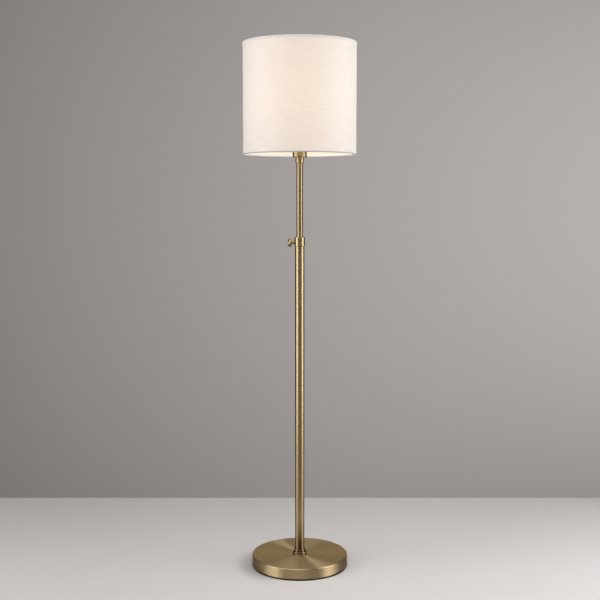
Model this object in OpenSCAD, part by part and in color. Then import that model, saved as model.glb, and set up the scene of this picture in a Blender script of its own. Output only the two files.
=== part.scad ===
// Telescopic floor lamp: weighted disc base, two-part pole with a thumb-screw clamp, and a drum shade on a
// screwed lamp holder. Millimetres, +Z up, origin at the centre of the face that rests on the floor.

/* [Base] */
// Diameter of the spun base cover
base_d = 260; // [220:1:320]
// Height of the base cover without its pad
base_h = 27.5; // [26:0.5:36]
// Thickness of the sheet the cover is spun from
base_sheet = 1.2; // [0.8:0.1:1.6]
// Outside radius of the cover's upper edge
base_edge_r = 2.4; // [2.2:0.1:4]
// Radius of the roll at the cover's lower edge
base_roll_r = 1.3; // [0.8:0.1:1.6]
// Thickness of the felt pad under the base
pad_h = 3; // [2:0.5:4]
// Distance from the cover's side in to the pad's edge
pad_inset = 5; // [4.5:0.5:12]
// Thickness of the weight's solid top web
weight_web = 10; // [8:0.5:12]
// Width of the weight's outer rim
weight_rim = 12; // [8:1:20]
// Diameter of the weight's centre hub
weight_hub_d = 66; // [56:1:80]
// Number of ribs cast under the weight
rib_count = 6; // [6:6:12]
// Width of one rib
rib_w = 8; // [5:0.5:10]

/* [Cord inlet] */
// Height of the cord inlet above the floor
inlet_z = 11; // [10:0.5:12]
// Bore that the supply cord passes through
inlet_bore_d = 7; // [6:0.1:8]
// Diameter of the inlet bush's body
inlet_body_d = 10; // [9.4:0.1:11]
// Diameter of the inlet bush's flange
inlet_flange_d = 14; // [13:0.5:15]
// Thickness of the inlet bush's flange
inlet_flange_h = 1.6; // [1:0.1:2.5]
// Length of the inlet bush behind its flange
inlet_body_l = 11; // [8:1:14]

/* [Pole] */
// Outside diameter of the lower pole
pole_d = 25.4; // [24.8:0.1:26.2]
// Wall of the lower pole
pole_wall = 1.4; // [1:0.1:1.6]
// Length of the lower pole
pole_l = 843; // [600:1:1000]
// Diameter of the foot ring's lower bead
foot_d = 37; // [35:0.5:44]
// Height of the foot ring's lower bead
foot_bead_h = 6.2; // [5:0.1:8]
// Rounding of the lower bead
foot_bead_round = 2.2; // [1:0.1:2.4]
// Diameter of the foot ring's upper bead
foot_neck_d = 30.8; // [29.8:0.2:32]
// Height of the foot ring's upper bead
foot_neck_h = 5.6; // [4:0.1:8]
// Rounding of the upper bead
foot_neck_round = 1.5; // [0.8:0.1:1.6]
// Height of the groove between the two beads
foot_groove_h = 1.4; // [0.6:0.1:2]
// Depth of the groove below the upper bead
foot_groove_depth = 1.2; // [0.6:0.1:1.4]
// Height of the threaded plug in the pole's foot
plug_h = 22; // [14:1:30]

/* [Threaded tubes and nuts] */
// Outside diameter of the threaded tubes that hold the lamp together
nipple_d = 10; // [9.6:0.1:10.4]
// Bore of the threaded tubes
nipple_bore_d = 7; // [6:0.1:8]
// Width across the flats of the base nut
nut_flats = 15; // [14:0.5:18]
// Height of the base nut
nut_h = 4; // [3:0.5:4.5]
// Diameter of the base washer
washer_d = 24; // [20:1:28]
// Thickness of the base washer
washer_h = 1.2; // [0.8:0.1:1.5]

/* [Telescopic tube] */
// Outside diameter of the sliding tube
tube_d = 17.5; // [17:0.1:18]
// Wall of the sliding tube
tube_wall = 1.2; // [0.8:0.1:1.6]
// Length of the sliding tube
tube_l = 432; // [380:1:520]
// Length of sliding tube that shows above the clamp
exposed = 197; // [60:1:300]
// Length of the plastic slider on the sliding tube's lower end
slider_l = 26; // [16:1:40]
// Thickness of the slider's lip under the tube's end
slider_lip = 2; // [1:0.5:4]
// Height of the groove round the tube that holds the slider's rib
groove_h = 4; // [2:0.5:6]
// Depth of that groove
groove_depth = 0.6; // [0.3:0.1:0.7]

/* [Clamp] */
// Outside diameter of the clamp collar
collar_d = 28; // [27.4:0.1:30]
// Height of the clamp collar
collar_h = 26; // [22:1:34]
// Length of the collar's spigot inside the lower pole
spigot_l = 25; // [18:1:40]
// Chamfer on the collar's edges
collar_chamfer = 0.6; // [0.3:0.1:1]
// Height of the shadow groove between the lower pole and the collar
relief_h = 1.2; // [0.6:0.1:2]
// Depth of the shadow groove
relief_depth = 1.1; // [0.4:0.1:1.2]
// Wall of the plastic guide bush in the spigot
guide_wall = 1.3; // [1:0.1:1.5]
// Length of the guide bush
guide_l = 20; // [12:1:40]
// Height of the thumb screw above the collar's lower face
screw_rise = 11; // [9:0.5:13]
// Diameter of the thumb screw's stud
stud_d = 6; // [5:0.1:7]
// Length of stud that shows between the collar and the knob
stud_show = 7.6; // [5:0.1:12]
// Thickness of the plastic pad ahead of the stud
clamp_pad_h = 1.2; // [0.8:0.1:1.8]
// Diameter of the knob
knob_d = 21.8; // [18:0.2:25]
// Thickness of the knob through its centre
knob_h = 11; // [10:0.2:14]
// Depth of the turned groove in the knob's domed face
knob_groove = 0.7; // [0.3:0.1:1]
// Diameter of the neck behind the knob
knob_neck_d = 8.6; // [8:0.2:10]
// Gap between that neck and the collar
knob_neck_gap = 1.2; // [0.8:0.1:2]

/* [Lamp holder] */
// Diameter of the ferrule on the sliding tube
ferrule_d = 22.4; // [21:0.2:24]
// Height of the ferrule
ferrule_h = 15; // [14:0.5:22]
// Depth of the ferrule's socket for the tube
ferrule_socket = 10; // [7:0.5:11]
// Diameter of the lamp holder
holder_d = 38; // [37:0.2:41]
// Height of the lamp holder's lower cup
cup_h = 28; // [26:0.5:34]
// Wall of the lamp holder's metal shells
holder_wall = 1.2; // [0.8:0.1:1.4]
// Height of the lamp holder's threaded barrel
barrel_h = 28; // [25:0.5:34]
// Outside diameter of the two shade rings
shade_ring_d = 54; // [50:0.5:56]
// Height of one shade ring
shade_ring_h = 5; // [4:0.5:6]
// Grip notches round one shade ring
shade_ring_notches = 24; // [12:1:30]

/* [Bulb] */
// Diameter of the bulb's globe
bulb_d = 60; // [50:1:62]
// Overall length of the bulb
bulb_l = 108; // [98:1:120]
// Diameter of the bulb's screw cap
bulb_cap_d = 26.4; // [26:0.1:26.8]

/* [Shade] */
// Outside diameter of the shade's fabric
shade_d = 300; // [260:1:360]
// Overall height of the shade
shade_h = 290; // [220:1:360]
// Thickness of the linen
fabric_h = 0.6; // [0.4:0.1:1]
// Thickness of the stiff lining that the linen is bonded to
liner_h = 0.6; // [0.4:0.1:1]
// Height of the folded hems at the shade's two edges
hem_w = 5; // [5:0.5:12]
// Thickness of the folded hem's cloth
hem_t = 0.6; // [0.4:0.1:1]
// Width of the lap where the linen's two ends meet
seam_w = 10; // [6:1:16]
// Diameter of the rings' wire
ring_wire_d = 3; // [3:0.2:4]
// Diameter of the three arms' wire
arm_wire_d = 2.8; // [2.4:0.1:2.9]
// Inside radius of the bend in each arm
arm_bend_r = 8; // [5:0.5:14]
// Height of the fitter plate above the shade's lower edge
fitter_rise = 30.1; // [24:0.1:60]
// Hole in the fitter plate
fitter_bore_d = 42; // [41.4:0.2:44]
// Outside diameter of the fitter plate
fitter_d = 60; // [58:0.5:66]
// Thickness of the fitter plate
fitter_h = 1.5; // [1:0.1:2]

/* [Inner lead] */
// Diameter of the lead inside the pole
lead_d = 5; // [4.4:0.1:5.2]
// Curls in the lead's coiled stretch
coil_turns = 24; // [8:1:30]
// Height above the floor where the coiled stretch starts
coil_start = 248; // [120:1:300]

/* [Hidden] */
$fn = 96;
seat_gap = 0.02;       // radial gap of a pressed or screwed seat
run_gap = 0.08;        // gap of a sliding or turning fit
free_gap = 0.3;        // gap where two pieces pass each other freely
through = 1;           // how far a cutting tool runs past the face it leaves

// Colours, as the lamp shows them
brass = [0.66, 0.53, 0.33];
steel = [0.62, 0.62, 0.60];
iron = [0.24, 0.24, 0.25];
felt = [0.09, 0.09, 0.09];
nylon = [0.90, 0.89, 0.85];
black_plastic = [0.10, 0.10, 0.11];
linen = [0.95, 0.92, 0.87];
hem_cloth = [0.93, 0.92, 0.91];
lining = [0.98, 0.97, 0.94];
enamel = [0.93, 0.93, 0.92];
porcelain = [0.94, 0.93, 0.90];
opal = [1.00, 0.96, 0.86];

// Heights, from the floor up
base_top = pad_h + base_h;
weight_top = base_top - base_sheet;
pocket_top = weight_top - weight_web;
nut_top = pocket_top - washer_h;
base_nipple_low = nut_top - nut_h - 0.5;
pole_top = base_top + pole_l;
collar_top = pole_top + collar_h;
ferrule_low = collar_top + exposed;
tube_top = ferrule_low + ferrule_socket;
tube_low = tube_top - tube_l;
slider_low = tube_low - run_gap - slider_lip;
groove_low = tube_low + slider_l / 3;
cup_low = ferrule_low + ferrule_h;
barrel_low = cup_low + cup_h;
barrel_top = barrel_low + barrel_h;
barrel_skirt = 6;
core_h = 12;
core_top = barrel_low - barrel_skirt;
core_low = core_top - core_h;
shell_low = core_top + 3;
shell_h = 23;
bulb_tip = shell_low + 4.5;
seat_ring_low = barrel_low + 4;
seat_ring_top = seat_ring_low + shade_ring_h;
plate_gap = 0.1;       // gap between the fitter plate and each shade ring
fitter_low = seat_ring_top + plate_gap;
clamp_ring_low = fitter_low + fitter_h + plate_gap;
shade_low = fitter_low - fitter_rise;
shade_top = shade_low + shade_h;
screw_z = pole_top + screw_rise;

// Radii
base_r = base_d / 2;
weight_r = base_r - base_sheet - free_gap;
pole_bore_r = pole_d / 2 - pole_wall;
tube_r = tube_d / 2;
tube_bore_r = tube_r - tube_wall;
collar_bore_r = tube_r + run_gap * 2;
guide_r = tube_r + run_gap + guide_wall;
collar_r = collar_d / 2;
cup_bore_r = holder_d / 2 - holder_wall;
core_ledge = 2.6;      // width of the ledge in the cup that carries the core
wall_out = shade_d / 2;
wall_mid = wall_out - fabric_h;
wall_in = wall_mid - liner_h;
wire_r = ring_wire_d / 2;
wire_gap = 0.1;        // gap between the ring's wire and the lining
wire_c = wall_in - wire_gap - wire_r;
lead_r = lead_d / 2;
lead_bend_r = 6;

// Terminal block in the pocket behind the hub
block_size = [24, 14];
block_gap = 22;        // distance from the hub to the block

// ---- Shared shapes -------------------------------------------------------------------------------------

// Points on a circular arc, from one angle to another
function arc(centre, r, from, to, steps = 8) =
    [for (i = [0:steps]) let (a = from + (to - from) * i / steps) centre + r * [cos(a), sin(a)]];

// Upright tube between two radii
module tube(outer, inner, low, high) {
    translate([0, 0, low]) difference() {
        cylinder(r = outer, h = high - low);
        translate([0, 0, -through]) cylinder(r = inner, h = high - low + 2 * through);
    }
}

// Half section of a disc or sleeve whose two outer corners are rounded
module rounded_section(inner, outer, low, high, low_r, high_r) {
    polygon(concat(
        [[inner, low]],
        arc([outer - low_r, low + low_r], low_r, -90, 0),
        arc([outer - high_r, high - high_r], high_r, 0, 90),
        [[inner, high]]
    ));
}

// Half section of a sleeve whose two outer corners are chamfered
module chamfered_section(inner, outer, low, high, c) {
    polygon([
        [inner, low], [outer - c, low], [outer, low + c],
        [outer, high - c], [outer - c, high], [inner, high]
    ]);
}

// Cylinder that lies along -X, from one distance to another, at the thumb screw's height
module screw_rod(r, from, to) {
    translate([-from, 0, screw_z]) rotate([0, -90, 0]) cylinder(r = r, h = to - from);
}

// ---- Base ----------------------------------------------------------------------------------------------

module base_pad() {
    color(felt) cylinder(r = base_r - pad_inset, h = pad_h);
}

// Spun dish: flat top, rounded shoulder, upright side and a solid roll turned in at the lower edge
module base_cover() {
    inner_r = base_edge_r - base_sheet;
    side_in = base_r - base_sheet;
    roll_start = acos(1 - base_sheet / base_roll_r);   // where the roll leaves the side's inner face
    hole_r = nipple_d / 2 + free_gap;
    color(brass) difference() {
        rotate_extrude() polygon(concat(
            [[hole_r, weight_top], [side_in - inner_r, weight_top]],
            arc([side_in - inner_r, weight_top - inner_r], inner_r, 90, 0),
            arc([base_r - base_roll_r, pad_h + base_roll_r], base_roll_r, roll_start, 360, 12),
            arc([base_r - base_edge_r, base_top - base_edge_r], base_edge_r, 0, 90),
            [[hole_r, base_top]]
        ));
        translate([0, base_r - 2 * base_roll_r - through, inlet_z]) rotate([-90, 0, 0])
            cylinder(r = inlet_body_d / 2 + seat_gap, h = 2 * base_roll_r + 2 * through);
    }
}

// Cast weight: a disc with pockets under its web, between the hub, the ribs and the rim. Its edges are
// chamfered to clear the inside of the cover's shoulder and the roll at the cover's lower edge.
module base_weight() {
    slot_w = lead_d + 4 * free_gap;
    slot_h = pad_h + 2 * lead_d;
    edge_c = base_edge_r;
    roll_c = sqrt(2) * (base_roll_r + free_gap) + 2 * base_roll_r - (base_r - weight_r);
    color(iron) difference() {
        rotate_extrude() polygon([
            [0, pad_h], [weight_r - roll_c, pad_h], [weight_r, pad_h + roll_c],
            [weight_r, weight_top - edge_c], [weight_r - edge_c, weight_top], [0, weight_top]
        ]);
        translate([0, 0, pad_h - through])
            linear_extrude(height = pocket_top - pad_h + through) difference() {
                circle(r = weight_r - weight_rim);
                circle(d = weight_hub_d);
                for (i = [0:rib_count - 1]) rotate(i * 360 / rib_count)
                    translate([0, -rib_w / 2]) square([weight_r, rib_w]);
            }
        translate([0, 0, pad_h - through])
            cylinder(r = washer_d / 2 + free_gap, h = pocket_top - pad_h + through);
        cylinder(r = nipple_d / 2 + free_gap, h = base_top);
        translate([-slot_w / 2, 0, pad_h - through]) cube([slot_w, weight_hub_d / 2 + rib_w, slot_h]);
        translate([0, weight_r - weight_rim - through, inlet_z]) rotate([-90, 0, 0])
            cylinder(r = inlet_body_d / 2 + free_gap, h = weight_rim + 2 * through);
    }
}

// Flanged bush in the cover's rear wall, where the supply cord goes in
module cord_inlet_bush() {
    seat_y = base_r + seat_gap;
    color(black_plastic) translate([0, seat_y, inlet_z]) rotate([90, 0, 0]) difference() {
        rotate_extrude() union() {
            rounded_section(0, inlet_flange_d / 2, -inlet_flange_h, 0, inlet_flange_h / 2, 0.2);
            translate([0, -inlet_flange_h]) square([inlet_body_d / 2, inlet_body_l + inlet_flange_h]);
        }
        translate([0, 0, -inlet_flange_h - through])
            cylinder(d = inlet_bore_d, h = inlet_body_l + inlet_flange_h + 2 * through);
    }
}

// Connector block against the web, between the supply cord and the inner lead
module terminal_block() {
    low = pad_h;
    high = pocket_top;
    front = weight_hub_d / 2 + block_gap;
    clamp_pitch = block_size[0] / 2;
    color(nylon) difference() {
        translate([-block_size[0] / 2, front, low]) cube([block_size[0], block_size[1], high - low]);
        for (side = [-1, 1]) translate([side * clamp_pitch / 2, front + block_size[1] / 2, low - through])
            cylinder(d = 4, h = (high - low) / 2 + through);
    }
}

module base_washer() {
    color(steel) tube(washer_d / 2, nipple_d / 2 + seat_gap, nut_top, pocket_top);
}

module base_nut() {
    color(steel) translate([0, 0, nut_top - nut_h]) difference() {
        cylinder(d = nut_flats / cos(30), h = nut_h, $fn = 6);
        translate([0, 0, -through]) cylinder(r = nipple_d / 2 + seat_gap, h = nut_h + 2 * through);
    }
}

module base_nipple() {
    color(steel) tube(nipple_d / 2, nipple_bore_d / 2, base_nipple_low, base_top + plug_h - through);
}

// ---- Lower pole ----------------------------------------------------------------------------------------

// Turned ring with two beads and a groove between them, round the pole where it meets the base
module foot_ring() {
    bore_r = pole_d / 2 + seat_gap;
    groove_r = foot_neck_d / 2 - foot_groove_depth;
    bead_top = base_top + foot_bead_h;
    neck_low = bead_top + foot_groove_h;
    neck_top = neck_low + foot_neck_h;
    color(brass) rotate_extrude() union() {
        rounded_section(bore_r, foot_d / 2, base_top, bead_top, foot_bead_round, foot_bead_round);
        translate([bore_r, bead_top - through])
            square([groove_r - bore_r, foot_groove_h + 2 * through]);
        rounded_section(bore_r, foot_neck_d / 2, neck_low, neck_top, 0.4, foot_neck_round);
    }
}

module pole_plug() {
    color(steel) tube(pole_bore_r - seat_gap, nipple_d / 2 + seat_gap, base_top, base_top + plug_h);
}

module lower_pole() {
    color(brass) tube(pole_d / 2, pole_bore_r, base_top, pole_top);
}

// ---- Clamp ---------------------------------------------------------------------------------------------

// Turned collar: its spigot is pressed into the pole, and its side is tapped for the thumb screw. A groove
// under its lower edge draws the dark line that parts it from the pole.
module clamp_collar() {
    spigot_low = pole_top - spigot_l;
    groove_r = pole_d / 2 - relief_depth;
    color(brass) difference() {
        rotate_extrude() union() {
            chamfered_section(collar_bore_r, collar_r, pole_top + relief_h, collar_top, collar_chamfer);
            translate([collar_bore_r, pole_top])
                square([groove_r - collar_bore_r, relief_h + collar_chamfer]);
            translate([collar_bore_r, spigot_low])
                square([pole_bore_r - seat_gap - collar_bore_r, spigot_l + relief_h]);
        }
        translate([0, 0, spigot_low - through]) cylinder(r = guide_r + seat_gap, h = guide_l + through);
        screw_rod(stud_d / 2, 0, collar_r + through);
    }
}

module guide_bush() {
    low = pole_top - spigot_l;
    color(nylon) tube(guide_r, tube_r + run_gap, low, low + guide_l);
}

// Plastic disc that the stud presses on the sliding tube
module clamp_pad() {
    inner = tube_r + run_gap;
    color(nylon) screw_rod(stud_d / 2 - run_gap, inner, inner + clamp_pad_h);
}

stud_tip = tube_r + run_gap + clamp_pad_h;
knob_face = collar_r + stud_show;
stud_in_knob = knob_h * 0.6;

module clamp_stud() {
    color(brass) screw_rod(stud_d / 2 - run_gap, stud_tip, knob_face + stud_in_knob);
}

// Turned knob: a neck that keeps it off the collar, a flat back with a rounded corner, and a domed face with
// one turned groove
module clamp_knob() {
    rim_r = knob_d / 2;
    neck_r = knob_neck_d / 2;
    neck_l = stud_show - knob_neck_gap;
    corner_r = knob_h * 0.2;
    bore_r = stud_d / 2 - run_gap + seat_gap;
    fullness = 0.55;       // 1 would be half an ellipse; less is rounder at the rim and flatter in the middle
    function dome(a, sink = 0) =
        [rim_r * cos(a), corner_r + (knob_h - corner_r) * pow(sin(a), fullness) - sink];
    color(brass) translate([-knob_face, 0, screw_z]) rotate([0, -90, 0]) rotate_extrude() polygon(concat(
        [[bore_r, -neck_l], [neck_r - 0.4, -neck_l], [neck_r, 0.4 - neck_l], [neck_r, 0]],
        arc([rim_r - corner_r, corner_r], corner_r, -90, 0, 6),
        [for (a = [6:7:48]) dome(a)],
        [dome(53, knob_groove), dome(60, knob_groove)],
        [for (a = [64:5.2:90]) dome(a)],
        [[0, stud_in_knob], [bore_r, stud_in_knob]]
    ));
}

// ---- Sliding tube --------------------------------------------------------------------------------------

// Slider snapped over the tube's lower end: its rib turns in the tube's groove, its lip guards the lead, and
// its top meets the spigot when the lamp is fully raised
module slider_bush() {
    outer = pole_bore_r - run_gap;
    inner = tube_r + run_gap;
    rib_in = inner - groove_depth;
    lip_in = lead_r + 2 * free_gap;
    lip_top = tube_low - run_gap;
    rib_low = groove_low + run_gap;
    rib_top = groove_low + groove_h - run_gap;
    slider_top = slider_low + slider_l;
    color(nylon) rotate_extrude() polygon([
        [lip_in, slider_low], [outer, slider_low], [outer, slider_top], [inner, slider_top],
        [inner, rib_top], [rib_in, rib_top], [rib_in, rib_low], [inner, rib_low],
        [inner, lip_top], [lip_in, lip_top]
    ]);
}

module sliding_tube() {
    color(brass) difference() {
        tube(tube_r, tube_bore_r, tube_low, tube_top);
        tube(tube_r + through, tube_r - groove_depth, groove_low, groove_low + groove_h);
    }
}

// Turned ferrule: socket for the tube below, thread for the lamp holder above
module tube_ferrule() {
    color(brass) difference() {
        rotate_extrude()
            rounded_section(nipple_d / 2 + seat_gap, ferrule_d / 2, ferrule_low, cup_low, 0.9, 0.3);
        translate([0, 0, ferrule_low - through])
            cylinder(r = tube_r + seat_gap, h = ferrule_socket + through);
    }
}

// ---- Lamp holder ---------------------------------------------------------------------------------------

module holder_nipple() {
    color(steel) tube(nipple_d / 2, nipple_bore_d / 2, tube_top + 0.2, cup_low + holder_wall + 4);
}

// Lower cup, with a ledge inside that the core stands on
module holder_cup() {
    ledge_r = cup_bore_r - core_ledge;
    color(brass) difference() {
        rotate_extrude()
            rounded_section(nipple_d / 2 + seat_gap, holder_d / 2, cup_low, barrel_low, 1.3, 0.3);
        translate([0, 0, cup_low + 2 * holder_wall]) cylinder(r = ledge_r, h = cup_h);
        translate([0, 0, core_low]) cylinder(r = cup_bore_r, h = cup_h);
    }
}

// Porcelain core that carries the contacts
module holder_core() {
    boss_r = 14.6;
    color(porcelain) difference() {
        union() {
            translate([0, 0, core_low]) cylinder(r = cup_bore_r - free_gap, h = core_h);
            translate([0, 0, core_top]) cylinder(r = boss_r, h = shell_low - core_top);
        }
        for (side = [-1, 1]) translate([side * (cup_bore_r - 6), 0, core_low - through])
            cylinder(d = 5, h = 8 + through);
    }
}

// Two terminal screws in the core
module holder_terminals() {
    color(brass) for (side = [-1, 1]) translate([side * (cup_bore_r - 6), 0, core_low + 1])
        cylinder(d = 5 - 2 * seat_gap, h = 7);
}

// Threaded shell that the bulb's cap screws into
module holder_screw_shell() {
    shell_r = 14.2;
    color(steel) difference() {
        translate([0, 0, shell_low]) cylinder(r = shell_r, h = shell_h);
        translate([0, 0, shell_low + 0.5]) cylinder(r = shell_r - 0.5, h = shell_h);
        translate([0, 0, shell_low - through]) cylinder(r = 8, h = 3 * through);
    }
}

// Sprung tongue under the bulb's tip
module holder_contact() {
    strip = 0.5;
    rise = bulb_tip - shell_low - seat_gap;
    color(brass) translate([0, 3, shell_low]) rotate([90, 0, 0]) linear_extrude(height = 6) polygon([
        [-7, 0], [-3, 0], [1, rise - strip], [5, rise - strip],
        [5, rise], [0.8, rise], [-3.2, strip], [-7, strip]
    ]);
}

// Barrel with the outside thread for the two shade rings
module holder_barrel() {
    wall = 2;
    color(brass) union() {
        tube(holder_d / 2, holder_d / 2 - wall, barrel_low, barrel_top);
        tube(cup_bore_r - seat_gap, holder_d / 2 - wall - 1, core_top, barrel_low + wall);
    }
}

// Ring nut with grip notches round its rim
module shade_ring(low) {
    notch_r = 1.6;
    color(brass) translate([0, 0, low]) difference() {
        rotate_extrude()
            chamfered_section(holder_d / 2 + seat_gap, shade_ring_d / 2, 0, shade_ring_h, 0.5);
        for (i = [0:shade_ring_notches - 1]) rotate([0, 0, i * 360 / shade_ring_notches])
            translate([shade_ring_d / 2 + notch_r * 0.45, 0, -through])
                cylinder(r = notch_r, h = shade_ring_h + 2 * through);
    }
}

module shade_seat_ring() {
    shade_ring(seat_ring_low);
}

module shade_clamp_ring() {
    shade_ring(clamp_ring_low);
}

// ---- Bulb ----------------------------------------------------------------------------------------------

cap_low = bulb_tip + 3.5;
cap_h = 22;
globe_r = bulb_d / 2;
globe_z = bulb_tip + bulb_l - globe_r;
globe_cut = globe_z - globe_r * 0.35;
globe_neck_r = sqrt(globe_r * globe_r - pow(globe_z - globe_cut, 2));

module bulb_globe() {
    glass = 1;
    color(opal) difference() {
        translate([0, 0, globe_z]) sphere(r = globe_r);
        translate([0, 0, globe_z]) sphere(r = globe_r - glass);
        translate([0, 0, globe_cut - bulb_d]) cylinder(r = bulb_d, h = bulb_d);
    }
}

// Plastic body between the globe and the cap
module bulb_housing() {
    cap_top = cap_low + cap_h;
    shoulder_z = cap_top + (globe_cut - cap_top) * 0.62;
    color(enamel) rotate_extrude() polygon([
        [0, cap_top], [bulb_cap_d / 2 + 0.8, cap_top], [bulb_cap_d / 2 + 1.2, cap_top + 2.5],
        [globe_neck_r * 0.82, shoulder_z], [globe_neck_r, globe_cut], [0, globe_cut]
    ]);
}

module bulb_cap() {
    color(steel) tube(bulb_cap_d / 2, bulb_cap_d / 2 - 0.5, cap_low, cap_low + cap_h);
}

module bulb_insulator() {
    color(black_plastic) translate([0, 0, bulb_tip + 1]) cylinder(r1 = 6, r2 = bulb_cap_d / 2 - 0.7, h = 4.5);
}

module bulb_tip_contact() {
    color(steel) translate([0, 0, bulb_tip]) cylinder(r = 4.8, h = 1);
}

// ---- Shade ---------------------------------------------------------------------------------------------

// Welded wire frame: lower ring, three bent arms and the fitter plate that the shade rings clamp
module shade_frame() {
    ring_z = shade_low + hem_t + wire_r;
    arm_z = fitter_low + fitter_h / 2;
    arm_r = arm_wire_d / 2;
    bend_r = arm_bend_r + arm_r;
    arm_in = shade_ring_d / 2 + 2 * plate_gap;
    color(enamel) union() {
        translate([0, 0, ring_z]) rotate_extrude() translate([wire_c, 0]) circle(r = wire_r);
        tube(fitter_d / 2, fitter_bore_d / 2, fitter_low, fitter_low + fitter_h);
        for (turn = [90, 210, 330]) rotate([0, 0, turn]) {
            translate([wire_c, 0, ring_z]) cylinder(r = arm_r, h = arm_z - bend_r - ring_z);
            translate([wire_c - bend_r, 0, arm_z - bend_r]) rotate([90, 0, 0])
                rotate_extrude(angle = 90) translate([bend_r, 0]) circle(r = arm_r);
            translate([arm_in, 0, arm_z]) rotate([0, 90, 0])
                cylinder(r = arm_r, h = wire_c - bend_r - arm_in);
        }
    }
}

module shade_top_wire() {
    color(enamel) translate([0, 0, shade_top - hem_t - wire_r])
        rotate_extrude() translate([wire_c, 0]) circle(r = wire_r);
}

module shade_lining() {
    color(lining) tube(wall_mid, wall_in, shade_low + hem_t, shade_top - hem_t);
}

// Linen bonded round the lining, with a lapped seam at the back
module shade_linen() {
    lap = seam_w / wall_out * 180 / PI;
    lap_t = hem_t * 0.7;
    low = shade_low + hem_t;
    color(linen) union() {
        tube(wall_out, wall_mid, low, shade_top - hem_t);
        translate([0, 0, shade_low + hem_w]) rotate([0, 0, 90 - lap / 2]) rotate_extrude(angle = lap)
            translate([wall_out - fabric_h / 2, 0]) square([lap_t + fabric_h / 2, shade_h - 2 * hem_w]);
    }
}

// Half section of a hem whose fold is at height 0: it wraps the wall's edge and the ring's wire
module hem_section() {
    wire_z = hem_t + wire_r;
    wall = wall_out - wall_in;
    difference() {
        union() {
            rounded_section(wall_in - hem_t, wall_out + hem_t, 0, hem_w, hem_t, hem_t / 3);
            translate([wire_c, wire_z]) circle(r = wire_r + hem_t);
        }
        translate([wall_in, hem_t]) square([wall, hem_w]);
        translate([wire_c, wire_z]) circle(r = wire_r);
    }
}

module shade_top_hem() {
    color(hem_cloth) translate([0, 0, shade_top]) mirror([0, 0, 1]) rotate_extrude() hem_section();
}

// The lower hem is slit where the frame's arms come out of it
module shade_bottom_hem() {
    color(hem_cloth) translate([0, 0, shade_low]) difference() {
        rotate_extrude() hem_section();
        for (turn = [90, 210, 330]) rotate([0, 0, turn])
            translate([wire_c, 0, hem_t + wire_r]) cylinder(r = arm_wire_d / 2 + free_gap, h = hem_w);
    }
}

// ---- Inner lead ----------------------------------------------------------------------------------------

coil_end = slider_low - 2;
coil_r = pole_bore_r - lead_r - 1.2;
coil_steps = 8 * coil_turns;
coil_sides = 6;

// From the terminal block, under the nut, and up the pole to the coiled stretch
module lead_in_base() {
    run_z = pad_h + lead_r + 0.1;
    block_front = weight_hub_d / 2 + block_gap;
    color(black_plastic) union() {
        translate([0, lead_bend_r, run_z]) rotate([-90, 0, 0])
            cylinder(r = lead_r, h = block_front - lead_bend_r);
        translate([0, lead_bend_r, run_z + lead_bend_r]) rotate([0, 90, 0]) rotate([0, 0, 270])
            rotate_extrude(angle = 90) translate([lead_bend_r, 0]) circle(r = lead_r);
        translate([0, 0, run_z + lead_bend_r]) cylinder(r = lead_r, h = coil_start - run_z - lead_bend_r);
    }
}

// Share of the coil's full radius that a step has: it grows over the first turn and shrinks over the last
function coil_share(i) =
    let (t = min(1, min(i, coil_steps - i) / 8)) t * t * (3 - 2 * t);
function coil_point(i) =
    let (turn = 360 * i / 8, r = coil_r * coil_share(i))
    [r * cos(turn), r * sin(turn), coil_start + (coil_end - coil_start) * i / coil_steps];
function unit(v) = v / norm(v);
function coil_heading(i) =
    i == 0 || i == coil_steps ? [0, 0, 1] : unit(coil_point(i + 1) - coil_point(i - 1));
function coil_ring(i) =
    let (
        turn = 360 * i / 8, ahead = coil_heading(i), out = [cos(turn), sin(turn), 0],
        side = unit(out - (out * ahead) * ahead), up = cross(ahead, side)
    )
    [for (k = [0:coil_sides - 1])
        coil_point(i) + lead_r * (side * cos(360 * k / coil_sides) + up * sin(360 * k / coil_sides))];

// Coiled stretch that lets the lead grow and shrink with the pole
module lead_coil() {
    rings = [for (i = [0:coil_steps]) each coil_ring(i)];
    sides = [for (i = [0:coil_steps - 1], k = [0:coil_sides - 1])
        let (a = i * coil_sides + k, b = i * coil_sides + (k + 1) % coil_sides)
        each [[a, a + coil_sides, b], [b, a + coil_sides, b + coil_sides]]];
    first = [for (k = [1:coil_sides - 2]) [0, k, k + 1]];
    last_ring = coil_steps * coil_sides;
    last = [for (k = [1:coil_sides - 2]) [last_ring, last_ring + k + 1, last_ring + k]];
    color(black_plastic) polyhedron(points = rings, faces = concat(sides, first, last));
}

// Least gap between one curl and the next, measured on the coil's own points
curl_gap = min([for (i = [8:coil_steps - 16]) norm(coil_point(i + 8) - coil_point(i))]) - lead_d;
echo(least_gap_between_curls = curl_gap);

module lead_in_tube() {
    color(black_plastic) translate([0, 0, coil_end]) cylinder(r = lead_r, h = core_low - coil_end);
}

// ---- Nodes ---------------------------------------------------------------------------------------------

base_pad();
base_cover();
base_weight();
cord_inlet_bush();
terminal_block();
base_washer();
base_nut();
base_nipple();
foot_ring();
pole_plug();
lower_pole();
clamp_collar();
guide_bush();
clamp_pad();
clamp_stud();
clamp_knob();
slider_bush();
sliding_tube();
tube_ferrule();
holder_nipple();
holder_cup();
holder_core();
holder_terminals();
holder_screw_shell();
holder_contact();
holder_barrel();
shade_seat_ring();
shade_clamp_ring();
bulb_globe();
bulb_housing();
bulb_cap();
bulb_insulator();
bulb_tip_contact();
shade_frame();
shade_top_wire();
shade_lining();
shade_linen();
shade_top_hem();
shade_bottom_hem();
lead_in_base();
lead_coil();
lead_in_tube();
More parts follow.
